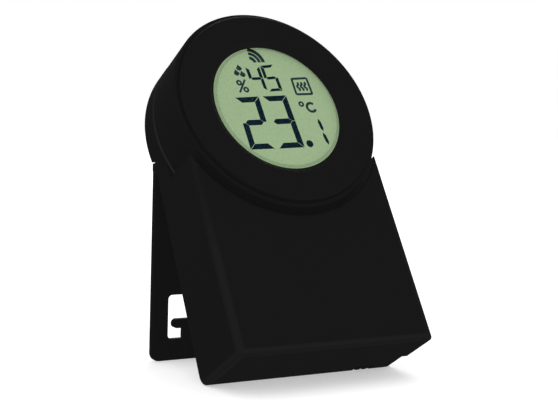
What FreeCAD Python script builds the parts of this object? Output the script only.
"""Wireless room thermostat: a box with a round dial head, held up by a hinged stand plate.

Everything is first built in the housing's own frame, in millimetres: X to the right, Y from the front
face towards the back, Z up along the housing, with the origin in the middle of the front face's lower
edge. The last step leans the housing back on to its rear edge and the foot of the stand plate.
"""
import FreeCAD, Part
import math
import os

Vector = FreeCAD.Vector

# Housing
BODY_WIDTH = 75.0
BODY_DEPTH = 29.9            # at the lower edge
BACK_SLOPE = 3.3             # degrees, the back comes forward as it rises
REAR_SHELL_DEPTH = 13.5      # of BODY_DEPTH, behind the split between the shells
SHOULDER_Z = 70.5            # top of the front shell's two horns
HEAD_Z = 88.2                # height of the dial's axis
HEAD_OVERHANG = 0.1          # the rear shell's head stands this far outside the drum
CUTOUT_GAP = 1.8             # between the drum and the arc in the front shell
CUTOUT_BEVEL = 0.5
WALL = 2.0
EDGE_RADIUS = 1.9
BACK_EDGE_RADIUS = 0.9
HEAD_EDGE = 0.5              # rounded edge of the head's back
FOOT_RADIUS = 4.0            # lower rear edge, which stands on the table
SHELF_THICKNESS = 1.2
SHELF_GAP = 2.6
PRY_WIDTH = 3.0              # recess behind the split at the lower right edge
PRY_HEIGHT = 1.3

# Dial
DRUM_RADIUS = 38.9
DRUM_WALL = 2.7
DRUM_FRONT_Y = -2.3
DRUM_REAR_GAP = 0.4          # seam between the drum and the rear shell
DRUM_FRONT_BEVEL = 0.2
DRUM_REAR_BEVEL = 0.6
RING_SETBACK = 1.7           # the ring is this much smaller than the drum
RING_FRONT_Y = -4.0
RING_EDGE_RADIUS = 0.9
RING_LIP_THICKNESS = 0.4
RING_SPIGOT_WALL = 1.55
RING_SPIGOT_LENGTH = 1.7
GROOVE_WIDTH = 0.4           # between the ring and the drum's rim
GROOVE_DEPTH = 0.9
WINDOW_MARGIN = 2.8          # of display glass hidden behind the ring
WINDOW_BEVEL_WIDTH = 1.9
WINDOW_BEVEL_DEPTH = 1.15
RIB_TO_GEAR = 4.8
RIB_THICKNESS = 3.0
BEARING_CLEARANCE = 0.08
SIDE_CLEARANCE = 0.2

# Gears between the dial and the encoder
GEAR_STEP = 2.8              # from the drum's bore in to the gear's pitch circle
RING_TEETH = 84
PINION_TEETH = 12
PRESSURE_ANGLE = 20.0
ADDENDUM = 0.7
DEDENDUM = 1.1
BACKLASH = 0.5
GEAR_TO_BOARD = 7.0
GEAR_WIDTH = 3.0
PINION_OVERHANG = 0.2
ENCODER_ANGLE = 90.0         # straight above the dial's axis
ENCODER_SIZE = 11.0
ENCODER_THICKNESS = 3.4
ENCODER_GAP = 2.0            # free room beside the encoder in the carrier
ENCODER_SHAFT_RADIUS = 1.5
ENCODER_SHAFT_CLEARANCE = 0.06

# Display stack and its carrier
LENS_MARGIN = 1.5            # of lens beyond the display glass
LENS_THICKNESS = 1.2
LENS_GAP = 0.45
LENS_RISE = 1.2              # of the lens's middle, which fills the ring's window
LENS_CLEARANCE = 0.3         # between that middle and the ring
LENS_CHAMFER_WIDTH = 1.3
LENS_CHAMFER_DEPTH = 0.5
GLASS_CLEARANCE = 0.3
GLASS_THICKNESS = 2.2
LIGHT_GUIDE_THICKNESS = 2.5
LIGHT_GUIDE_SIDE_CUT = 3.0
LIGHT_GUIDE_LOWER_CUT = 4.0
LED_SIZE = 3.0
LED_DEPTH = 1.2
STACK_GAP = 0.05
JOURNAL_STEP = 5.4           # from the drum's bore in to the journal
SHOULDER_HEIGHT = 1.2
CARRIER_WALL = 3.2
CARRIER_SHELF = 1.2
CARRIER_LEDGE = 1.2
RETAINER_WIDTH = 3.0
RETAINER_THICKNESS = 1.8
RIBBON_WIDTH = 18.0
RIBBON_THICKNESS = 0.3
RIBBON_MARGIN = 2.9
CARRIER_SCREW_INSET = 3.4
CARRIER_SCREW_COUNT = 4
CARRIER_SCREW_ANGLE = 45.0
CARRIER_BOSS_RADIUS = 3.0
CARRIER_REAR_GAP = 0.6       # the carrier ends this far behind the split

# Boards
BOARD_THICKNESS = 1.4
MAIN_BOARD_CLEARANCE = 0.2
MAIN_BOARD_INSET = 0.2       # in front of the split
PROCESSOR_SIZE = 10.0
PROCESSOR_HEIGHT = 1.4
RADIO_BOARD_SETBACK = 2.0    # behind the split
RADIO_BOARD_WIDTH = 59.0
RADIO_BOARD_LOW_Z = 41.6
RADIO_BOARD_MARGIN = 2.4
RADIO_MODULE_SIZE = (16.0, 2.0, 12.0)
RADIO_MODULE_X = -12.0
ANTENNA_RADIUS = 1.2
ANTENNA_LENGTH = 16.0
ANTENNA_GAP = 2.0            # from the radio module
ANTENNA_Z = 59.6
CONNECTOR_SIZE = (12.0, 3.4)
CONNECTOR_INSET = 2.9
STAKE_X = 25.0
STAKE_Z = 57.0
STAKE_POST_RADIUS = 2.2
STAKE_PIN_RADIUS = 0.9
STAKE_CLEARANCE = 0.1

# Climate sensor and its air slots
VENT_COUNT = 3
VENT_PITCH = 2.8
VENT_WIDTH = 2.1
VENT_X = 23.5
VENT_LENGTH = 7.2
VENT_HEIGHT = 3.6
SENSOR_BOARD_WIDTH = 9.0
SENSOR_BOARD_THICKNESS = 1.0
SENSOR_BOARD_FRONT_Y = 4.6
SENSOR_BOARD_REAR_Y = 20.6
SENSOR_SIZE = 3.0
SENSOR_HEIGHT = 1.0
SENSOR_RIBBON_WIDTH = 5.0
SENSOR_RIBBON_THICKNESS = 0.4
SENSOR_RIBBON_Y = 5.0
SENSOR_RIBBON_SHIFT = 4.0
SENSOR_RIBBON_TAIL = 2.0

# Battery bay with two AA cells side by side
CELL_RADIUS = 7.25
CELL_LENGTH = 50.5
CELL_NUB_LENGTH = 1.0
CELL_NUB_RADIUS = 2.7
CELL_GAP = 1.5
CELL_CLEARANCE = 0.35
BUMP_LENGTH = 1.6            # of the raised pad that meets a cell's nub
BAY_WALL = 1.2
BAY_LOW_Z = 7.0
BAY_END_GAP = 0.75
CONTACT_THICKNESS = 0.4
CONTACT_HEIGHT = 10.0
SPRING_LENGTH = 4.1
SPRING_RADII = (4.2, 2.4)
SPRING_WALL = 0.8
TAB_WIDTH = 1.8
TAB_CLEARANCE = 0.1
TAB_LENGTH = 1.5             # of a terminal's tab in the radio board
COVER_THICKNESS = 1.0        # of the outer plate, and again of its plug
COVER_LEDGE = 2.0
COVER_CLEARANCE = 0.2
COVER_GRIP_COUNT = 5
COVER_GRIP_PITCH = 2.2
COVER_GRIP_LENGTH = 16.0

# Pairing button
BUTTON_X = 17.0
BUTTON_Z = 50.0
BUTTON_RADIUS = 2.2
BUTTON_CLEARANCE = 0.06
BUTTON_FLANGE = 0.7
BUTTON_FLANGE_THICKNESS = 0.7
BUTTON_TRAVEL = 0.4
BUTTON_INSET = 0.15
SWITCH_SIZE = 6.0
SWITCH_HEIGHT = 2.0
PLUNGER_RADIUS = 1.5
PLUNGER_DEPTH = 0.7

# Hinge and stand plate
STAND_ANGLE = 32.1           # between the housing's Z axis and the plate, and the housing's lean
HINGE_Z = 78.8
HINGE_INSET = 0.2            # the hinge axis lies this far inside the back
KNUCKLE_RADIUS = 2.3
KNUCKLE_CLEARANCE = 0.4
KNUCKLE_SIDE_GAP = 0.3
INNER_KNUCKLE_START = 17.3
INNER_KNUCKLE_LENGTH = 9.6
PIN_RADIUS = 1.0
PIN_CLEARANCE = 0.06
PIN_LENGTH = 17.0
PLATE_THICKNESS = 2.0
PLATE_CORNER_RADIUS = 3.2
PLATE_EDGE_RADIUS = 0.4
PLATE_NOTCH = 3.4
HEEL_HEIGHT = 1.9            # square rear corner of the plate's top, above the hinge axis
WINDOW_HALF_WIDTH = 31.2
WINDOW_TOP = 44.4            # distances below the hinge axis
WINDOW_BOTTOM = 60.1
WINDOW_CORNER_RADIUS = 1.5
TONGUE_HALF_WIDTH = 25.2
TONGUE_TOP = 53.1
FINGER_WIDTH = 3.3
FINGER_REACH = 29.2
WALL_HOLE_X = 20.0
WALL_HOLE_DROP = 28.0
WALL_HOLE_RADIUS = 2.2
WALL_HOLE_HEAD_RADIUS = 4.2
WALL_HOLE_HEAD_DEPTH = 0.9

# Screws
BOSS_INSET = 4.5             # from the side of the housing to a screw
BOSS_HEIGHTS = (8.0, 54.0)
FRONT_BOSS_RADIUS = 2.9
REAR_BOSS_RADIUS = 3.4
SCREW_RADIUS = 1.0
SCREW_HEAD_RADIUS = 2.0
SCREW_HEAD_HEIGHT = 1.5
SCREW_GRIP = 3.0             # rear shell material under a screw's head
SCREW_BITE = 6.0
SCREW_HOLE_CLEARANCE = 0.2
SCREW_DRIVE_RADIUS = 0.9
SCREW_DRIVE_DEPTH = 0.7
CARRIER_SCREW_GRIP = 1.6

# Worked-out places
SLOPE = math.radians(BACK_SLOPE)
SPLIT_Y = BODY_DEPTH - REAR_SHELL_DEPTH
BOSS_X = BODY_WIDTH / 2 - BOSS_INSET
DRUM_REAR_Y = SPLIT_Y - DRUM_REAR_GAP
DRUM_BORE_RADIUS = DRUM_RADIUS - DRUM_WALL
HEAD_RADIUS = DRUM_RADIUS + HEAD_OVERHANG
CUTOUT_RADIUS = DRUM_RADIUS + CUTOUT_GAP
RING_RADIUS = DRUM_RADIUS - RING_SETBACK
RIM_INNER_RADIUS = RING_RADIUS + GROOVE_WIDTH
JOURNAL_RADIUS = DRUM_BORE_RADIUS - JOURNAL_STEP
SHOULDER_RADIUS = JOURNAL_RADIUS + SHOULDER_HEIGHT
SHELF_INNER_RADIUS = SHOULDER_RADIUS + SHELF_GAP
RETAINER_RADIUS = JOURNAL_RADIUS + RETAINER_WIDTH
CARRIER_BORE_RADIUS = JOURNAL_RADIUS - CARRIER_WALL
GLASS_RADIUS = CARRIER_BORE_RADIUS - GLASS_CLEARANCE
LENS_RADIUS = GLASS_RADIUS + LENS_MARGIN
WINDOW_RADIUS = GLASS_RADIUS - WINDOW_MARGIN
LIGHT_GUIDE_HALF_WIDTH = GLASS_RADIUS - LIGHT_GUIDE_SIDE_CUT
LIGHT_GUIDE_LOWER_FLAT = GLASS_RADIUS - LIGHT_GUIDE_LOWER_CUT
RIBBON_DROP = GLASS_RADIUS - RIBBON_MARGIN
CARRIER_SCREW_CIRCLE = CARRIER_BORE_RADIUS - CARRIER_SCREW_INSET
MAIN_BOARD_RADIUS = CARRIER_BORE_RADIUS - MAIN_BOARD_CLEARANCE
CONNECTOR_Z = HEAD_Z - MAIN_BOARD_RADIUS + CONNECTOR_INSET
RADIO_BOARD_HIGH_Z = CONNECTOR_Z + RADIO_BOARD_MARGIN
RING_SEAT_Y = DRUM_FRONT_Y + GROOVE_DEPTH
LIP_FRONT_Y = RING_FRONT_Y + WINDOW_BEVEL_DEPTH
LIP_REAR_Y = LIP_FRONT_Y + RING_LIP_THICKNESS
LENS_FRONT_Y = LIP_REAR_Y + LENS_GAP
LENS_REAR_Y = LENS_FRONT_Y + LENS_THICKNESS
GLASS_FRONT_Y = LENS_REAR_Y + STACK_GAP
GLASS_REAR_Y = GLASS_FRONT_Y + GLASS_THICKNESS
GUIDE_FRONT_Y = GLASS_REAR_Y + STACK_GAP
GUIDE_REAR_Y = GUIDE_FRONT_Y + LIGHT_GUIDE_THICKNESS
MAIN_BOARD_REAR_Y = SPLIT_Y - MAIN_BOARD_INSET
MAIN_BOARD_FRONT_Y = MAIN_BOARD_REAR_Y - BOARD_THICKNESS
GEAR_FRONT_Y = MAIN_BOARD_FRONT_Y - GEAR_TO_BOARD
RIB_FRONT_Y = GEAR_FRONT_Y - RIB_TO_GEAR
RIB_REAR_Y = RIB_FRONT_Y + RIB_THICKNESS
RETAINER_REAR_Y = RIB_FRONT_Y - SIDE_CLEARANCE
RETAINER_FRONT_Y = RETAINER_REAR_Y - RETAINER_THICKNESS
SHOULDER_FRONT_Y = RIB_REAR_Y + SIDE_CLEARANCE
CARRIER_REAR_Y = SPLIT_Y + CARRIER_REAR_GAP
GEAR_REAR_Y = GEAR_FRONT_Y + GEAR_WIDTH
ENCODER_FRONT_Y = MAIN_BOARD_FRONT_Y - ENCODER_THICKNESS
RING_PITCH_RADIUS = DRUM_BORE_RADIUS - GEAR_STEP
GEAR_MODULE = 2 * RING_PITCH_RADIUS / RING_TEETH
PINION_PITCH_RADIUS = GEAR_MODULE * PINION_TEETH / 2
ENCODER_DISTANCE = RING_PITCH_RADIUS - PINION_PITCH_RADIUS
RADIO_BOARD_FRONT_Y = SPLIT_Y + RADIO_BOARD_SETBACK
RADIO_BOARD_REAR_Y = RADIO_BOARD_FRONT_Y + BOARD_THICKNESS
BAY_HALF_LENGTH = (CELL_LENGTH + SPRING_LENGTH + BUMP_LENGTH) / 2 + CONTACT_THICKNESS
BAY_HIGH_Z = BAY_LOW_Z + 4 * CELL_RADIUS + CELL_GAP + 2 * BAY_END_GAP
LOWER_CELL_Z = BAY_LOW_Z + BAY_END_GAP + CELL_RADIUS
UPPER_CELL_Z = LOWER_CELL_Z + 2 * CELL_RADIUS + CELL_GAP
COVER_DEPTH = 2 * COVER_THICKNESS
CONTACT_X = BAY_HALF_LENGTH - CONTACT_THICKNESS
PLATE_FRONT = KNUCKLE_RADIUS - PLATE_THICKNESS
PLATE_REAR = KNUCKLE_RADIUS
OUTER_KNUCKLE_START = INNER_KNUCKLE_START + INNER_KNUCKLE_LENGTH + KNUCKLE_SIDE_GAP
FAR = 200.0                  # reach of a cutting block, beyond everything


def back_y(z):
    """Depth of the sloping back at height z."""
    return BODY_DEPTH - z * math.tan(SLOPE)


CELL_Y = back_y(UPPER_CELL_Z) - COVER_DEPTH / math.cos(SLOPE) - CELL_CLEARANCE - CELL_RADIUS
BAY_FLOOR_Y = CELL_Y - CELL_RADIUS - CELL_CLEARANCE
HINGE_Y = back_y(HINGE_Z) - HINGE_INSET


def floor_distance():
    """Height of the hinge axis above the table, when the housing leans by STAND_ANGLE."""
    lean = math.radians(STAND_ANGLE)
    hinge = HINGE_Z * math.cos(lean) - HINGE_Y * math.sin(lean)
    edge_y = BODY_DEPTH - FOOT_RADIUS
    edge = FOOT_RADIUS * math.cos(lean) - edge_y * math.sin(lean)
    return hinge - (edge - FOOT_RADIUS)


PLATE_LENGTH = floor_distance()


# Simple shapes
def block(x0, x1, y0, y1, z0, z1):
    return Part.makeBox(x1 - x0, y1 - y0, z1 - z0, Vector(x0, y0, z0))


def rod(radius, y0, y1, x=0.0, z=HEAD_Z):
    """Cylinder along Y, by default on the dial's axis."""
    return Part.makeCylinder(radius, y1 - y0, Vector(x, y0, z), Vector(0, 1, 0))


def tube(outer, inner, y0, y1, x=0.0, z=HEAD_Z):
    return rod(outer, y0, y1, x, z).cut(rod(inner, y0 - 1, y1 + 1, x, z))


def cross_rod(radius, x0, x1, y, z):
    """Cylinder along X."""
    return Part.makeCylinder(radius, x1 - x0, Vector(x0, y, z), Vector(1, 0, 0))


def cone(radius0, radius1, y0, y1, x=0.0, z=HEAD_Z):
    return Part.makeCone(radius0, radius1, y1 - y0, Vector(x, y0, z), Vector(0, 1, 0))


def turned(points):
    """Ring about the dial's axis from a closed outline of (radius, y) points.

    A point with a third value ends an arc whose middle point is the one before it.
    """
    places = [Vector(point[0], point[1], HEAD_Z) for point in points]
    edges = []
    index = 0
    while index < len(places):
        following = (index + 1) % len(places)
        if len(points[following]) == 3:
            end = (index + 2) % len(places)
            edges.append(Part.Arc(places[index], places[following], places[end]).toShape())
            index += 2
        else:
            edges.append(Part.LineSegment(places[index], places[following]).toShape())
            index += 1
    face = Part.Face(Part.Wire(edges))
    return face.revolve(Vector(0, 0, HEAD_Z), Vector(0, 1, 0), 360)


def arc_middle(centre_r, centre_y, radius, degrees):
    """Middle point of an arc, marked as such for turned()."""
    angle = math.radians(degrees)
    return (centre_r + radius * math.cos(angle), centre_y + radius * math.sin(angle), "arc")


def prism(points, y0, y1):
    """Straight-sided outline of (x, z) points, carried from y0 to y1."""
    corners = [Vector(x, y0, z) for x, z in points]
    wire = Part.makePolygon(corners + corners[:1])
    return Part.Face(wire).extrude(Vector(0, y1 - y0, 0))


def side_prism(points, x0, x1):
    """Straight-sided outline of (y, z) points, carried from x0 to x1."""
    corners = [Vector(x0, y, z) for y, z in points]
    wire = Part.makePolygon(corners + corners[:1])
    return Part.Face(wire).extrude(Vector(x1 - x0, 0, 0))


def joined(shapes):
    solid = shapes[0]
    for shape in shapes[1:]:
        solid = solid.fuse(shape)
    return solid.removeSplitter()


def mirrored_pair(shape):
    return [shape, shape.mirror(Vector(0, 0, 0), Vector(1, 0, 0))]


def edges_where(shape, test):
    return [edge for edge in shape.Edges if test(edge.BoundBox)]


def near(first, second):
    return abs(first - second) < 1e-3


def behind_back(offset):
    """Everything behind a plane that lies offset inside the back."""
    shift = offset / math.cos(SLOPE)
    outline = [
        (back_y(-FAR) - shift, -FAR),
        (FAR, -FAR),
        (FAR, FAR),
        (back_y(FAR) - shift, FAR),
    ]
    return side_prism(outline, -FAR, FAR)


def on_back(shape):
    """Turn a shape about the lower rear edge so that its plane y = BODY_DEPTH becomes the back."""
    turned_shape = shape.copy()
    turned_shape.rotate(Vector(0, BODY_DEPTH, 0), Vector(1, 0, 0), BACK_SLOPE)
    return turned_shape


def head_point(distance, degrees):
    angle = math.radians(degrees)
    return distance * math.cos(angle), HEAD_Z + distance * math.sin(angle)


def screw_angles():
    step = 360.0 / CARRIER_SCREW_COUNT
    return [CARRIER_SCREW_ANGLE + step * index for index in range(CARRIER_SCREW_COUNT)]


def boss_places():
    return [(side * BOSS_X, height) for side in (-1, 1) for height in BOSS_HEIGHTS]


# Housing shells
def box_outside():
    """The box as one rounded block, from the front face to the sloping back."""
    half = BODY_WIDTH / 2
    outline = [(0, 0), (BODY_DEPTH, 0), (back_y(HEAD_Z), HEAD_Z), (0, HEAD_Z)]
    solid = side_prism(outline, -half, half)
    foot = edges_where(solid, lambda b: near(b.YMin, BODY_DEPTH) and near(b.ZMax, 0))
    solid = solid.makeFillet(FOOT_RADIUS, foot)
    rear = edges_where(
        solid,
        lambda b: near(abs(b.XMin), half) and near(b.XMin, b.XMax) and b.YMin > back_y(HEAD_Z) - 1e-3
        and b.ZLength > HEAD_Z / 2,
    )
    solid = solid.makeFillet(BACK_EDGE_RADIUS, rear)
    front = edges_where(
        solid,
        lambda b: (near(b.YMax, 0) and not near(b.ZMin, HEAD_Z))
        or (near(b.ZMax, 0) and near(abs(b.XMin), half) and near(b.XMin, b.XMax)),
    )
    return solid.makeFillet(EDGE_RADIUS, front)


def head_outside():
    """Round back of the head; two cones square to the back take off its rear edge."""
    back = back_y(HEAD_Z)
    edge = HEAD_EDGE
    form = turned([
        (0, 0),
        (HEAD_RADIUS + 0.6 * edge, 0),
        (HEAD_RADIUS + 0.6 * edge, back - 2.4 * edge),
        (HEAD_RADIUS - 0.3 * edge, back - 0.3 * edge),
        (HEAD_RADIUS - edge, back),
        (0, back),
    ])
    form.rotate(Vector(0, back, HEAD_Z), Vector(1, 0, 0), BACK_SLOPE)
    return rod(HEAD_RADIUS, SPLIT_Y, BODY_DEPTH).common(form)


def front_shell():
    half = BODY_WIDTH / 2
    outside = box_outside().common(block(-FAR, FAR, -1, SPLIT_Y, -1, SHOULDER_Z))
    outside = outside.cut(rod(CUTOUT_RADIUS, -1, FAR))
    outside = outside.cut(cone(CUTOUT_RADIUS + CUTOUT_BEVEL, CUTOUT_RADIUS, 0, CUTOUT_BEVEL))
    inside = block(-half + WALL, half - WALL, WALL, FAR, WALL, SHOULDER_Z + 1)
    inside = inside.cut(rod(CUTOUT_RADIUS + WALL, -1, FAR))
    shell = outside.cut(inside)
    bosses = [rod(FRONT_BOSS_RADIUS, WALL / 2, SPLIT_Y, x, z) for x, z in boss_places()]
    shell = joined([shell] + bosses)
    for x, z in boss_places():
        shell = shell.cut(rod(SCREW_RADIUS, SPLIT_Y - SCREW_BITE - 1, SPLIT_Y + 1, x, z))
    return shell


def pry_recess():
    """Recess along the lower right edge, behind the front shell, where a blade parts the shells."""
    half = BODY_WIDTH / 2
    return block(half - PRY_WIDTH, half + 1, SPLIT_Y - 1, FAR, -1, PRY_HEIGHT)


def rear_shell():
    half = BODY_WIDTH / 2
    box_part = box_outside().common(block(-FAR, FAR, SPLIT_Y, FAR, -1, HEAD_Z))
    outside = joined([box_part, head_outside()])
    inside = joined([
        block(-half + WALL, half - WALL, SPLIT_Y - 1, FAR, WALL, HEAD_Z),
        rod(HEAD_RADIUS - WALL, SPLIT_Y - 1, FAR),
    ]).cut(behind_back(WALL))
    shell = outside.cut(inside)
    shelf = tube(CUTOUT_RADIUS + WALL, SHELF_INNER_RADIUS, SPLIT_Y, SPLIT_Y + SHELF_THICKNESS)
    added = [shelf.common(outside), hinge_boss().common(outside), battery_bay()]
    for x, z in boss_places():
        added.append(rod(REAR_BOSS_RADIUS, SPLIT_Y, back_y(z) - WALL / 2, x, z).common(outside))
    for angle in screw_angles():
        x, z = head_point(CARRIER_SCREW_CIRCLE, angle)
        added.append(rod(REAR_BOSS_RADIUS, CARRIER_REAR_Y, back_y(z) - WALL / 2, x, z).common(outside))
    for side in (-1, 1):
        added.append(rod(STAKE_POST_RADIUS, RADIO_BOARD_REAR_Y, back_y(STAKE_Z) - WALL / 2, side * STAKE_X, STAKE_Z))
        added.append(rod(STAKE_PIN_RADIUS, RADIO_BOARD_FRONT_Y - 0.4, RADIO_BOARD_REAR_Y + 1, side * STAKE_X, STAKE_Z))
    shell = joined([shell] + added)
    shell = joined([shell] + inner_knuckles())
    for cutter in rear_shell_cutters():
        shell = shell.cut(cutter)
    return shell


def rear_shell_cutters():
    half = BODY_WIDTH / 2
    cutters = []
    for x, z in boss_places():
        cutters.append(rod(SCREW_RADIUS + SCREW_HOLE_CLEARANCE, SPLIT_Y - 1, FAR, x, z))
        cutters.append(rod(SCREW_HEAD_RADIUS + SCREW_HOLE_CLEARANCE, SPLIT_Y + SCREW_GRIP, FAR, x, z))
    for angle in screw_angles():
        x, z = head_point(CARRIER_SCREW_CIRCLE, angle)
        cutters.append(rod(SCREW_RADIUS + SCREW_HOLE_CLEARANCE, CARRIER_REAR_Y - 1, FAR, x, z))
        seat = CARRIER_REAR_Y + CARRIER_SCREW_GRIP
        cutters.append(rod(SCREW_HEAD_RADIUS + SCREW_HOLE_CLEARANCE, seat, FAR, x, z))
    trough = KNUCKLE_RADIUS + KNUCKLE_CLEARANCE
    start = OUTER_KNUCKLE_START - KNUCKLE_SIDE_GAP
    cutters += mirrored_pair(cross_rod(trough, start, half + 1, HINGE_Y, HINGE_Z))
    pin_start = OUTER_KNUCKLE_START + pin_reach() - PIN_LENGTH
    cutters += mirrored_pair(cross_rod(PIN_RADIUS, pin_start, half + 1, HINGE_Y, HINGE_Z))
    cutters.append(battery_space())
    cutters.append(cover_space())
    cutters.append(rod(BUTTON_RADIUS + BUTTON_CLEARANCE, RADIO_BOARD_REAR_Y, FAR, BUTTON_X, BUTTON_Z))
    cutters.append(tab_slots())
    for index in range(VENT_COUNT):
        x = VENT_X + (index - (VENT_COUNT - 1) / 2) * VENT_PITCH
        cutters.append(block(x - VENT_WIDTH / 2, x + VENT_WIDTH / 2, BODY_DEPTH - VENT_LENGTH, FAR, -1, VENT_HEIGHT))
    cutters.append(pry_recess())
    return cutters


def hinge_boss():
    """Thicker wall round the hinge, inside the back."""
    half = BODY_WIDTH / 2
    radius = KNUCKLE_RADIUS + KNUCKLE_CLEARANCE + WALL * 0.8
    return cross_rod(radius, -half + WALL / 2, half - WALL / 2, HINGE_Y, HINGE_Z)


def inner_knuckles():
    start = INNER_KNUCKLE_START
    knuckle = cross_rod(KNUCKLE_RADIUS, start, start + INNER_KNUCKLE_LENGTH, HINGE_Y, HINGE_Z)
    return mirrored_pair(knuckle)


def pin_reach():
    """How far a hinge pin reaches into the stand plate's knuckle."""
    return BODY_WIDTH / 2 - OUTER_KNUCKLE_START - WALL


def hinge_pins():
    end = OUTER_KNUCKLE_START + pin_reach()
    return mirrored_pair(cross_rod(PIN_RADIUS, end - PIN_LENGTH, end, HINGE_Y, HINGE_Z))


def battery_bay():
    """Walls and floor round the two cells, open towards the back."""
    return block(
        -BAY_HALF_LENGTH - BAY_WALL,
        BAY_HALF_LENGTH + BAY_WALL,
        BAY_FLOOR_Y - BAY_WALL,
        FAR,
        BAY_LOW_Z - BAY_WALL,
        BAY_HIGH_Z + BAY_WALL,
    ).cut(behind_back(WALL / 2))


def battery_space():
    return block(-BAY_HALF_LENGTH, BAY_HALF_LENGTH, BAY_FLOOR_Y, FAR, BAY_LOW_Z, BAY_HIGH_Z)


def cover_plate(grow, depth, ledge):
    """Plate in the back, depth thick, that covers the bay and a ledge round it."""
    side = BAY_HALF_LENGTH + ledge + grow
    return on_back(block(
        -side,
        side,
        BODY_DEPTH - depth,
        BODY_DEPTH,
        BAY_LOW_Z - ledge - grow + CELL_CLEARANCE,
        BAY_HIGH_Z + ledge + grow + CELL_CLEARANCE,
    ))


def cover_space():
    return cover_plate(0, COVER_THICKNESS, COVER_LEDGE).fuse(
        on_back(block(
            -BAY_HALF_LENGTH - COVER_LEDGE,
            BAY_HALF_LENGTH + COVER_LEDGE,
            BODY_DEPTH - COVER_THICKNESS,
            BODY_DEPTH + WALL,
            BAY_LOW_Z - COVER_LEDGE + CELL_CLEARANCE,
            BAY_HIGH_Z + COVER_LEDGE + CELL_CLEARANCE,
        ))
    )


def battery_cover():
    plate = cover_plate(-COVER_CLEARANCE, COVER_THICKNESS, COVER_LEDGE)
    plug = on_back(block(
        -BAY_HALF_LENGTH + COVER_CLEARANCE,
        BAY_HALF_LENGTH - COVER_CLEARANCE,
        BODY_DEPTH - COVER_DEPTH,
        BODY_DEPTH - COVER_THICKNESS / 2,
        BAY_LOW_Z + 2 * CELL_CLEARANCE + COVER_CLEARANCE,
        BAY_HIGH_Z - CELL_CLEARANCE,
    ))
    cover = joined([plate, plug])
    for index in range(COVER_GRIP_COUNT):
        z = BAY_HIGH_Z - COVER_LEDGE - index * COVER_GRIP_PITCH
        groove = block(
            -COVER_GRIP_LENGTH / 2,
            COVER_GRIP_LENGTH / 2,
            BODY_DEPTH - COVER_THICKNESS / 2,
            BODY_DEPTH + 1,
            z - COVER_GRIP_PITCH / 4,
            z + COVER_GRIP_PITCH / 4,
        )
        cover = cover.cut(on_back(groove))
    return cover


def tab_slots():
    """Slots in the bay's upper wall for the two terminal tabs."""
    return block(
        CONTACT_X - TAB_CLEARANCE,
        BAY_HALF_LENGTH + TAB_CLEARANCE,
        lower_tab_y() - TAB_CLEARANCE,
        CELL_Y + CONTACT_HEIGHT / 2 + TAB_CLEARANCE,
        BAY_HIGH_Z - 1,
        BAY_HIGH_Z + BAY_WALL + 1,
    )


# Batteries and contacts
def cell(z, side):
    """AA cell along X; side is +1 where its nub points to the right."""
    start = -CONTACT_X + SPRING_LENGTH
    body = CELL_LENGTH - CELL_NUB_LENGTH
    can = cross_rod(CELL_RADIUS, start, start + body, CELL_Y, z)
    rim = [edge for edge in can.Edges if near(edge.BoundBox.XLength, 0)]
    can = can.makeFillet(CELL_RADIUS / 10, rim)
    nub = cross_rod(CELL_NUB_RADIUS, start + body - 0.5, start + CELL_LENGTH, CELL_Y, z)
    solid = joined([can, nub])
    if side < 0:
        solid = solid.mirror(Vector(0, 0, 0), Vector(1, 0, 0))
    return solid


def contact_bump(z, side):
    """Raised pad that meets a cell's nub, from the contact plate to the nub's end."""
    nub_end = -CONTACT_X + SPRING_LENGTH + CELL_LENGTH
    bump = cross_rod(CELL_NUB_RADIUS * 0.7, nub_end, CONTACT_X + CONTACT_THICKNESS / 2, CELL_Y, z)
    if side < 0:
        bump = bump.mirror(Vector(0, 0, 0), Vector(1, 0, 0))
    return bump


def contact_plate(side, z0, z1):
    inner = side * CONTACT_X
    outer = side * BAY_HALF_LENGTH
    y0 = CELL_Y - CONTACT_HEIGHT / 2
    return block(min(inner, outer), max(inner, outer), y0, y0 + CONTACT_HEIGHT, z0, z1)


def series_contact():
    """Joins the two cells at the left end."""
    margin = CONTACT_HEIGHT / 2
    return joined([
        contact_plate(-1, LOWER_CELL_Z - margin, UPPER_CELL_Z + margin),
        contact_bump(UPPER_CELL_Z, -1),
    ])


def lower_tab_y():
    return CELL_Y - CONTACT_HEIGHT / 2 - TAB_WIDTH - 0.6


def battery_terminals():
    """Two terminals at the right end, whose tabs rise to the radio board."""
    margin = CONTACT_HEIGHT / 2
    tab_top = RADIO_BOARD_LOW_Z + TAB_LENGTH
    upper = contact_plate(1, UPPER_CELL_Z - margin, tab_top)
    lower_plate = contact_plate(1, LOWER_CELL_Z - margin, LOWER_CELL_Z + margin)
    lower_tab = block(CONTACT_X, BAY_HALF_LENGTH, lower_tab_y(), lower_tab_y() + TAB_WIDTH, LOWER_CELL_Z - margin, tab_top)
    lower_foot = block(
        CONTACT_X,
        BAY_HALF_LENGTH,
        lower_tab_y(),
        CELL_Y,
        LOWER_CELL_Z - margin,
        LOWER_CELL_Z - margin + TAB_WIDTH,
    )
    lower = joined([lower_plate, lower_tab, lower_foot, contact_bump(LOWER_CELL_Z, 1)])
    return [upper, lower]


def contact_springs():
    springs = []
    for z, side in ((LOWER_CELL_Z, -1), (UPPER_CELL_Z, 1)):
        wide, narrow = SPRING_RADII
        outer = Part.makeCone(wide, narrow, SPRING_LENGTH, Vector(-CONTACT_X, CELL_Y, z), Vector(1, 0, 0))
        inner = Part.makeCone(
            wide - SPRING_WALL, narrow - SPRING_WALL, SPRING_LENGTH, Vector(-CONTACT_X, CELL_Y, z), Vector(1, 0, 0)
        )
        spring = outer.cut(inner)
        if side > 0:
            spring = spring.mirror(Vector(0, 0, 0), Vector(1, 0, 0))
        springs.append(spring)
    return springs


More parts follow.
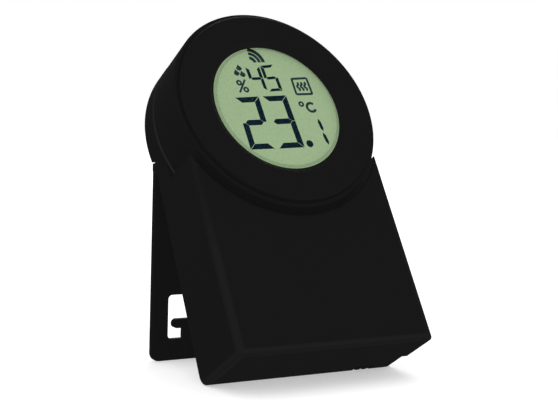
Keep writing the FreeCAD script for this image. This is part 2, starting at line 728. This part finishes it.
# Dial
def dial_ring():
    """Front face ring, from the bevel round the window to the spigot inside the drum."""
    spigot = DRUM_BORE_RADIUS - STACK_GAP
    inner = spigot - RING_SPIGOT_WALL
    edge = RING_EDGE_RADIUS
    return turned([
        (WINDOW_RADIUS, LIP_FRONT_Y),
        (WINDOW_RADIUS + WINDOW_BEVEL_WIDTH, RING_FRONT_Y),
        (RING_RADIUS - edge, RING_FRONT_Y),
        arc_middle(RING_RADIUS - edge, RING_FRONT_Y + edge, edge, -45),
        (RING_RADIUS, RING_FRONT_Y + edge),
        (RING_RADIUS, RING_SEAT_Y),
        (spigot, RING_SEAT_Y),
        (spigot, RING_SEAT_Y + RING_SPIGOT_LENGTH),
        (inner, RING_SEAT_Y + RING_SPIGOT_LENGTH),
        (inner, LIP_REAR_Y),
        (WINDOW_RADIUS, LIP_REAR_Y),
    ])


def dial_drum():
    bore = DRUM_BORE_RADIUS
    tip = RING_PITCH_RADIUS - ADDENDUM * GEAR_MODULE
    bearing = JOURNAL_RADIUS + BEARING_CLEARANCE
    drum = turned([
        (bore, RING_SEAT_Y),
        (RIM_INNER_RADIUS, RING_SEAT_Y),
        (RIM_INNER_RADIUS, DRUM_FRONT_Y),
        (DRUM_RADIUS - DRUM_FRONT_BEVEL, DRUM_FRONT_Y),
        (DRUM_RADIUS, DRUM_FRONT_Y + DRUM_FRONT_BEVEL),
        (DRUM_RADIUS, DRUM_REAR_Y - DRUM_REAR_BEVEL),
        (DRUM_RADIUS - DRUM_REAR_BEVEL, DRUM_REAR_Y),
        (bore, DRUM_REAR_Y),
        (bore, GEAR_REAR_Y),
        (tip, GEAR_REAR_Y),
        (tip, GEAR_FRONT_Y),
        (bore, GEAR_FRONT_Y),
        (bore, RIB_REAR_Y),
        (bearing, RIB_REAR_Y),
        (bearing, RIB_FRONT_Y),
        (bore, RIB_FRONT_Y),
    ])
    return drum.cut(ring_gear_spaces())


def tooth_half_width(height):
    """Half the width of a tooth, height above the pitch line."""
    pitch = math.pi * GEAR_MODULE
    return (pitch / 2 - BACKLASH / 2) / 2 - height * math.tan(math.radians(PRESSURE_ANGLE))


def ring_gear_spaces():
    """Star-shaped prism that leaves the internal teeth when cut from the drum."""
    pitch = math.pi * GEAR_MODULE
    low = RING_PITCH_RADIUS - (ADDENDUM + 0.2) * GEAR_MODULE
    high = RING_PITCH_RADIUS + DEDENDUM * GEAR_MODULE
    points = []
    for index in range(RING_TEETH):
        centre = math.radians(ENCODER_ANGLE) + 2 * math.pi * index / RING_TEETH
        for radius, side in ((low, -1), (high, -1), (high, 1), (low, 1)):
            space = pitch / 2 - tooth_half_width(RING_PITCH_RADIUS - radius)
            angle = centre + side * space / RING_PITCH_RADIUS
            points.append((radius * math.cos(angle), HEAD_Z + radius * math.sin(angle)))
    return prism(points, GEAR_FRONT_Y - 0.5, GEAR_REAR_Y + 0.5)


def encoder_pinion():
    x, z = head_point(ENCODER_DISTANCE, ENCODER_ANGLE)
    root = PINION_PITCH_RADIUS - DEDENDUM * GEAR_MODULE
    tip = PINION_PITCH_RADIUS + ADDENDUM * GEAR_MODULE
    points = []
    for index in range(PINION_TEETH):
        centre = math.radians(ENCODER_ANGLE) + 2 * math.pi * index / PINION_TEETH
        for radius, side in ((root, -1), (tip, -1), (tip, 1), (root, 1)):
            angle = centre + side * tooth_half_width(radius - PINION_PITCH_RADIUS) / PINION_PITCH_RADIUS
            points.append((x + radius * math.cos(angle), z + radius * math.sin(angle)))
    gear = prism(points, GEAR_FRONT_Y - PINION_OVERHANG, GEAR_REAR_Y + PINION_OVERHANG)
    shaft_end = ENCODER_FRONT_Y + ENCODER_THICKNESS * 0.7
    return joined([gear, rod(ENCODER_SHAFT_RADIUS, GEAR_FRONT_Y, shaft_end, x, z)])


def encoder_block(radial0, radial1, half_width, y0, y1):
    """Block at the encoder's place, square to the line from the dial's axis."""
    shape = block(radial0, radial1, y0, y1, HEAD_Z - half_width, HEAD_Z + half_width)
    shape.rotate(Vector(0, 0, HEAD_Z), Vector(0, 1, 0), -ENCODER_ANGLE)
    return shape


def encoder_body():
    half = ENCODER_SIZE / 2
    body = encoder_block(ENCODER_DISTANCE - half, ENCODER_DISTANCE + half, half, ENCODER_FRONT_Y, MAIN_BOARD_FRONT_Y)
    x, z = head_point(ENCODER_DISTANCE, ENCODER_ANGLE)
    bore_end = ENCODER_FRONT_Y + ENCODER_THICKNESS * 0.8
    return body.cut(rod(ENCODER_SHAFT_RADIUS + ENCODER_SHAFT_CLEARANCE, ENCODER_FRONT_Y - 1, bore_end, x, z))


# Display stack and carrier
def window_lens():
    """Clear disc whose middle, with a chamfer round it, stands forward in the ring's window."""
    front = LENS_FRONT_Y - LENS_RISE
    middle = WINDOW_RADIUS - LENS_CLEARANCE
    return turned([
        (0, front),
        (middle - LENS_CHAMFER_WIDTH, front),
        (middle, front + LENS_CHAMFER_DEPTH),
        (middle, LENS_FRONT_Y),
        (LENS_RADIUS, LENS_FRONT_Y),
        (LENS_RADIUS, LENS_REAR_Y),
        (0, LENS_REAR_Y),
    ])


def display_glass():
    return rod(GLASS_RADIUS, GLASS_FRONT_Y, GLASS_REAR_Y)


def light_guide():
    disc = rod(GLASS_RADIUS, GUIDE_FRONT_Y, GUIDE_REAR_Y)
    keep = block(
        -LIGHT_GUIDE_HALF_WIDTH,
        LIGHT_GUIDE_HALF_WIDTH,
        GUIDE_FRONT_Y,
        GUIDE_REAR_Y,
        HEAD_Z - LIGHT_GUIDE_LOWER_FLAT,
        HEAD_Z + GLASS_RADIUS + 1,
    )
    return disc.common(keep)


def backlight_leds():
    middle = (GUIDE_FRONT_Y + GUIDE_REAR_Y) / 2
    led = block(
        LIGHT_GUIDE_HALF_WIDTH,
        LIGHT_GUIDE_HALF_WIDTH + LED_DEPTH,
        middle - LED_DEPTH / 2,
        middle + LED_DEPTH / 2,
        HEAD_Z - LED_SIZE / 2,
        HEAD_Z + LED_SIZE / 2,
    )
    return mirrored_pair(led)


def display_ribbon():
    half = RIBBON_WIDTH / 2
    top = HEAD_Z - RIBBON_DROP
    return block(-half, half, GLASS_REAR_Y, MAIN_BOARD_FRONT_Y, top - RIBBON_THICKNESS, top)


def display_carrier():
    """Fixed tube that holds the display and carries the turning dial."""
    bore = CARRIER_BORE_RADIUS
    shelf_inner = LIGHT_GUIDE_HALF_WIDTH - 1.0
    ledge_front = MAIN_BOARD_FRONT_Y - CARRIER_LEDGE
    tube_part = turned([
        (bore, LENS_REAR_Y),
        (JOURNAL_RADIUS, LENS_REAR_Y),
        (JOURNAL_RADIUS, SHOULDER_FRONT_Y),
        (SHOULDER_RADIUS, SHOULDER_FRONT_Y),
        (SHOULDER_RADIUS, CARRIER_REAR_Y),
        (bore, CARRIER_REAR_Y),
        (bore, MAIN_BOARD_FRONT_Y),
        (bore - CARRIER_LEDGE, MAIN_BOARD_FRONT_Y),
        (bore - CARRIER_LEDGE, ledge_front),
        (bore, ledge_front),
        (bore, GUIDE_REAR_Y + CARRIER_SHELF),
        (shelf_inner, GUIDE_REAR_Y + CARRIER_SHELF),
        (shelf_inner, GUIDE_REAR_Y),
        (bore, GUIDE_REAR_Y),
    ])
    bosses = []
    for angle in screw_angles():
        x, z = head_point(CARRIER_SCREW_CIRCLE, angle)
        bosses.append(rod(CARRIER_BOSS_RADIUS, GUIDE_REAR_Y, CARRIER_REAR_Y, x, z))
    carrier = joined([tube_part] + bosses)
    for angle in screw_angles():
        x, z = head_point(CARRIER_SCREW_CIRCLE, angle)
        carrier = carrier.cut(rod(SCREW_RADIUS, CARRIER_REAR_Y - SCREW_BITE - 1, CARRIER_REAR_Y + 1, x, z))
    gap = encoder_block(
        CARRIER_SCREW_CIRCLE, FAR, ENCODER_SIZE / 2 + ENCODER_GAP, GEAR_FRONT_Y - PINION_OVERHANG - 0.6, CARRIER_REAR_Y + 1
    )
    half = RIBBON_WIDTH / 2 + 0.4
    ribbon_slot = block(
        -half, half, GUIDE_FRONT_Y, MAIN_BOARD_FRONT_Y, HEAD_Z - bore + 1.0, HEAD_Z - RIBBON_DROP + 1.0
    )
    return carrier.cut(gap).cut(ribbon_slot)


def dial_retainer():
    return tube(RETAINER_RADIUS, JOURNAL_RADIUS, RETAINER_FRONT_Y, RETAINER_REAR_Y)


# Boards
def main_board():
    disc = rod(MAIN_BOARD_RADIUS, MAIN_BOARD_FRONT_Y, MAIN_BOARD_REAR_Y)
    half = ENCODER_SIZE / 2
    tab = encoder_block(
        CARRIER_SCREW_CIRCLE, ENCODER_DISTANCE + half, half + 1.0, MAIN_BOARD_FRONT_Y, MAIN_BOARD_REAR_Y
    )
    board = joined([disc, tab])
    for angle in screw_angles():
        x, z = head_point(CARRIER_SCREW_CIRCLE, angle)
        hole = CARRIER_BOSS_RADIUS + SIDE_CLEARANCE
        board = board.cut(rod(hole, MAIN_BOARD_FRONT_Y - 1, MAIN_BOARD_REAR_Y + 1, x, z))
        outside_x, outside_z = head_point(CARRIER_SCREW_CIRCLE + hole, angle)
        board = board.cut(rod(hole, MAIN_BOARD_FRONT_Y - 1, MAIN_BOARD_REAR_Y + 1, outside_x, outside_z))
    return board


def processor():
    half = PROCESSOR_SIZE / 2
    return block(-half, half, MAIN_BOARD_FRONT_Y - PROCESSOR_HEIGHT, MAIN_BOARD_FRONT_Y, HEAD_Z - half, HEAD_Z + half)


def board_connector():
    width, height = CONNECTOR_SIZE
    return block(
        -width / 2,
        width / 2,
        MAIN_BOARD_REAR_Y,
        RADIO_BOARD_FRONT_Y,
        CONNECTOR_Z - height / 2,
        CONNECTOR_Z + height / 2,
    )


def radio_board():
    half = RADIO_BOARD_WIDTH / 2
    board = block(-half, half, RADIO_BOARD_FRONT_Y, RADIO_BOARD_REAR_Y, RADIO_BOARD_LOW_Z, RADIO_BOARD_HIGH_Z)
    slot = block(
        CONTACT_X - TAB_CLEARANCE,
        BAY_HALF_LENGTH + TAB_CLEARANCE,
        RADIO_BOARD_FRONT_Y - 1,
        RADIO_BOARD_REAR_Y + 1,
        RADIO_BOARD_LOW_Z - 1,
        RADIO_BOARD_LOW_Z + TAB_LENGTH + TAB_CLEARANCE,
    )
    board = board.cut(slot)
    for side in (-1, 1):
        hole = STAKE_PIN_RADIUS + STAKE_CLEARANCE
        board = board.cut(rod(hole, RADIO_BOARD_FRONT_Y - 1, RADIO_BOARD_REAR_Y + 1, side * STAKE_X, STAKE_Z))
    return board


def radio_module():
    width, depth, height = RADIO_MODULE_SIZE
    middle = (RADIO_BOARD_LOW_Z + RADIO_BOARD_HIGH_Z) / 2
    return block(
        RADIO_MODULE_X - width / 2,
        RADIO_MODULE_X + width / 2,
        RADIO_BOARD_REAR_Y,
        RADIO_BOARD_REAR_Y + depth,
        middle - height / 2,
        middle + height / 2,
    )


def antenna():
    start = RADIO_MODULE_X + RADIO_MODULE_SIZE[0] / 2 + ANTENNA_GAP
    y = RADIO_BOARD_REAR_Y + ANTENNA_RADIUS
    coil = cross_rod(ANTENNA_RADIUS, start, start + ANTENNA_LENGTH, y, ANTENNA_Z)
    return coil.cut(cross_rod(ANTENNA_RADIUS / 2, start - 1, start + ANTENNA_LENGTH + 1, y, ANTENNA_Z))


def sensor_board():
    half = SENSOR_BOARD_WIDTH / 2
    z0 = WALL
    return block(
        VENT_X - half, VENT_X + half, SENSOR_BOARD_FRONT_Y, SENSOR_BOARD_REAR_Y, z0, z0 + SENSOR_BOARD_THICKNESS
    )


def climate_sensor():
    half = SENSOR_SIZE / 2
    y1 = SENSOR_BOARD_REAR_Y - 0.5
    z0 = WALL + SENSOR_BOARD_THICKNESS
    return block(VENT_X - half, VENT_X + half, y1 - SENSOR_SIZE, y1, z0, z0 + SENSOR_HEIGHT)


def sensor_ribbon():
    """Rises in front of the battery bay and runs back over it to the radio board."""
    t = SENSOR_RIBBON_THICKNESS
    z0 = WALL + SENSOR_BOARD_THICKNESS
    top = BAY_HIGH_Z + BAY_WALL + 0.5 + t
    outline = [
        (SENSOR_RIBBON_Y, z0),
        (SENSOR_RIBBON_Y + t, z0),
        (SENSOR_RIBBON_Y + t, top - t),
        (RADIO_BOARD_FRONT_Y, top - t),
        (RADIO_BOARD_FRONT_Y, top + SENSOR_RIBBON_TAIL),
        (RADIO_BOARD_FRONT_Y - t, top + SENSOR_RIBBON_TAIL),
        (RADIO_BOARD_FRONT_Y - t, top),
        (SENSOR_RIBBON_Y, top),
    ]
    half = SENSOR_RIBBON_WIDTH / 2
    return side_prism(outline, VENT_X - half - SENSOR_RIBBON_SHIFT, VENT_X + half - SENSOR_RIBBON_SHIFT)


# Pairing button
def pairing_switch():
    half = SWITCH_SIZE / 2
    body = block(
        BUTTON_X - half, BUTTON_X + half, RADIO_BOARD_REAR_Y, RADIO_BOARD_REAR_Y + SWITCH_HEIGHT,
        BUTTON_Z - half, BUTTON_Z + half,
    )
    bore_start = RADIO_BOARD_REAR_Y + SWITCH_HEIGHT - PLUNGER_DEPTH - BUTTON_TRAVEL - 0.1
    return body.cut(rod(PLUNGER_RADIUS + BUTTON_CLEARANCE, bore_start, FAR, BUTTON_X, BUTTON_Z))


def button_flange_y():
    """Front of the button's flange, which lies just inside the back wall."""
    wall_inside = back_y(BUTTON_Z + BUTTON_RADIUS + BUTTON_FLANGE) - WALL / math.cos(SLOPE)
    return wall_inside - 0.2 - BUTTON_FLANGE_THICKNESS


def switch_plunger():
    start = RADIO_BOARD_REAR_Y + SWITCH_HEIGHT - PLUNGER_DEPTH
    return rod(PLUNGER_RADIUS, start, button_flange_y(), BUTTON_X, BUTTON_Z)


def pairing_button():
    start = button_flange_y()
    flange = rod(BUTTON_RADIUS + BUTTON_FLANGE, start, start + BUTTON_FLANGE_THICKNESS, BUTTON_X, BUTTON_Z)
    cap = rod(BUTTON_RADIUS, start, back_y(BUTTON_Z), BUTTON_X, BUTTON_Z)
    return joined([flange, cap]).cut(behind_back(BUTTON_INSET))


# Stand plate, hanging straight down from its hinge axis at the origin, its back towards +Y
def rounded_slab(half_width, z0, z1, corner, y0, y1):
    slab = block(-half_width, half_width, y0, y1, z0, z1)
    corners = edges_where(slab, lambda b: near(b.XLength, 0) and near(b.ZLength, 0) and near(b.ZMin, z0))
    return slab.makeFillet(corner, corners)


def stand_outline():
    slab = rounded_slab(BODY_WIDTH / 2, -PLATE_LENGTH, 0, PLATE_CORNER_RADIUS, PLATE_FRONT, PLATE_REAR)
    half = BODY_WIDTH / 2
    sides = edges_where(
        slab,
        lambda b: near(b.YLength, 0) and (near(b.XMin, half) or near(b.XMax, -half) or b.ZMax < -half)
        and b.ZMin < -1,
    )
    return slab.makeFillet(PLATE_EDGE_RADIUS, sides)


def stand_window():
    """Opening in the plate, with the T-shaped tongue that rises from its sill left out."""
    opening = block(-WINDOW_HALF_WIDTH, WINDOW_HALF_WIDTH, -1, FAR, -WINDOW_BOTTOM, -WINDOW_TOP)
    upright = edges_where(opening, lambda b: near(b.XLength, 0) and near(b.ZLength, 0))
    opening = opening.makeFillet(WINDOW_CORNER_RADIUS, upright)
    tip = FINGER_WIDTH / 2
    middle = -TONGUE_TOP - tip
    tongue = [
        block(-TONGUE_HALF_WIDTH, TONGUE_HALF_WIDTH, -2, FAR + 1, -WINDOW_BOTTOM - 1, -TONGUE_TOP),
        block(-FINGER_REACH + tip, FINGER_REACH - tip, -2, FAR + 1, -TONGUE_TOP - FINGER_WIDTH, -TONGUE_TOP),
    ]
    for side in (-1, 1):
        tongue.append(rod(tip, -2, FAR + 1, side * (FINGER_REACH - tip), middle))
    return opening.cut(joined(tongue))


def stand_plate():
    half = BODY_WIDTH / 2
    plate = stand_outline()
    plate = plate.cut(block(-OUTER_KNUCKLE_START, OUTER_KNUCKLE_START, -FAR, FAR, -PLATE_NOTCH, FAR))
    knuckle = cross_rod(KNUCKLE_RADIUS, OUTER_KNUCKLE_START, half, 0, 0)
    heel = block(OUTER_KNUCKLE_START, half, 0, PLATE_REAR, 0, HEEL_HEIGHT)
    plate = joined([plate] + mirrored_pair(knuckle) + mirrored_pair(heel))
    hole = cross_rod(PIN_RADIUS + PIN_CLEARANCE, OUTER_KNUCKLE_START - 1, OUTER_KNUCKLE_START + pin_reach() + 0.3, 0, 0)
    for cutter in mirrored_pair(hole):
        plate = plate.cut(cutter)
    plate = plate.cut(stand_window())
    for side in (-1, 1):
        x = side * WALL_HOLE_X
        plate = plate.cut(rod(WALL_HOLE_RADIUS, -1, FAR, x, -WALL_HOLE_DROP))
        plate = plate.cut(rod(WALL_HOLE_HEAD_RADIUS, -1, PLATE_FRONT + WALL_HOLE_HEAD_DEPTH, x, -WALL_HOLE_DROP))
    plate.rotate(Vector(0, 0, 0), Vector(1, 0, 0), STAND_ANGLE)
    plate.translate(Vector(0, HINGE_Y, HINGE_Z))
    return plate


# Screws
def screw(x, z, seat, length):
    """Screw along Y whose head bears on the plane y = seat and whose tip points forward."""
    head = rod(SCREW_HEAD_RADIUS, seat, seat + SCREW_HEAD_HEIGHT, x, z)
    shank = rod(SCREW_RADIUS, seat - length, seat + SCREW_HEAD_HEIGHT / 2, x, z)
    top = seat + SCREW_HEAD_HEIGHT
    solid = joined([head, shank])
    for angle in (0, 90):
        slot = block(
            x - SCREW_DRIVE_RADIUS, x + SCREW_DRIVE_RADIUS, top - SCREW_DRIVE_DEPTH, top + 1,
            z - SCREW_DRIVE_RADIUS / 4, z + SCREW_DRIVE_RADIUS / 4,
        )
        slot.rotate(Vector(x, 0, z), Vector(0, 1, 0), angle)
        solid = solid.cut(slot)
    return solid


def housing_screws():
    seat = SPLIT_Y + SCREW_GRIP
    return [screw(x, z, seat, SCREW_GRIP + SCREW_BITE) for x, z in boss_places()]


def carrier_screws():
    screws = []
    for angle in screw_angles():
        x, z = head_point(CARRIER_SCREW_CIRCLE, angle)
        screws.append(screw(x, z, CARRIER_REAR_Y + CARRIER_SCREW_GRIP, CARRIER_SCREW_GRIP + SCREW_BITE))
    return screws


PIECES = {
    "front_shell": front_shell,
    "rear_shell": rear_shell,
    "battery_cover": battery_cover,
    "lower_battery_cell": lambda: cell(LOWER_CELL_Z, 1),
    "upper_battery_cell": lambda: cell(UPPER_CELL_Z, -1),
    "series_contact": series_contact,
    "battery_terminals": battery_terminals,
    "contact_springs": contact_springs,
    "dial_ring": dial_ring,
    "dial_drum": dial_drum,
    "encoder_pinion": encoder_pinion,
    "encoder_body": encoder_body,
    "window_lens": window_lens,
    "display_glass": display_glass,
    "light_guide": light_guide,
    "backlight_leds": backlight_leds,
    "display_ribbon": display_ribbon,
    "display_carrier": display_carrier,
    "dial_retainer": dial_retainer,
    "main_board": main_board,
    "processor": processor,
    "board_connector": board_connector,
    "radio_board": radio_board,
    "radio_module": radio_module,
    "antenna": antenna,
    "sensor_board": sensor_board,
    "climate_sensor": climate_sensor,
    "sensor_ribbon": sensor_ribbon,
    "pairing_switch": pairing_switch,
    "switch_plunger": switch_plunger,
    "pairing_button": pairing_button,
    "hinge_pins": hinge_pins,
    "stand_plate": stand_plate,
    "housing_screws": housing_screws,
    "carrier_screws": carrier_screws,
}


def lean_back(shape):
    """Lean a piece back about the X axis, as the whole thermostat stands."""
    leaned = shape.copy()
    leaned.rotate(Vector(0, 0, 0), Vector(1, 0, 0), -STAND_ANGLE)
    return leaned


def main():
    os.makedirs("parts", exist_ok=True)
    pieces = {}
    for name, make in PIECES.items():
        made = make()
        solids = made if isinstance(made, list) else [made]
        pieces[name] = [lean_back(solid) for solid in solids]
    everything = Part.makeCompound([solid for solids in pieces.values() for solid in solids])
    box = everything.optimalBoundingBox(False, False)
    to_origin = Vector(-(box.XMin + box.XMax) / 2, -(box.YMin + box.YMax) / 2, -box.ZMin)
    for name, solids in pieces.items():
        for solid in solids:
            solid.translate(to_origin)
        shape = solids[0] if len(solids) == 1 else Part.makeCompound(solids)
        shape.exportStep("parts/" + name + ".step")
        count = sum(len(solid.Solids) for solid in solids)
        print(name, "solids", count, "of", len(solids), "volume", round(sum(s.Volume for s in solids), 1))
    print("size", round(box.XLength, 2), round(box.YLength, 2), round(box.ZLength, 2))
    report_places(to_origin)


def report_places(to_origin):
    """Print where the joints and mounts lie in the finished frame."""
    encoder_x, encoder_z = head_point(ENCODER_DISTANCE, ENCODER_ANGLE)
    places = {
        "hinge axis": Vector(0, HINGE_Y, HINGE_Z),
        "dial axis": Vector(0, 0, HEAD_Z),
        "encoder axis": Vector(encoder_x, 0, encoder_z),
        "button axis": Vector(BUTTON_X, 0, BUTTON_Z),
    }
    turn = FreeCAD.Rotation(Vector(1, 0, 0), -STAND_ANGLE)
    for name, place in places.items():
        moved = turn.multVec(place).add(to_origin)
        print(name, round(moved.x, 4), round(moved.y, 4), round(moved.z, 4))
    forward = turn.multVec(Vector(0, -1, 0))
    print("forward", round(forward.x, 6), round(forward.y, 6), round(forward.z, 6))
    plate = turn.multVec(Vector(0, HINGE_Y, HINGE_Z)).add(to_origin)
    print("plate back y", round(plate.y + PLATE_REAR, 4), "front y", round(plate.y + PLATE_FRONT, 4))
    print("plate length", round(PLATE_LENGTH, 4))


main()
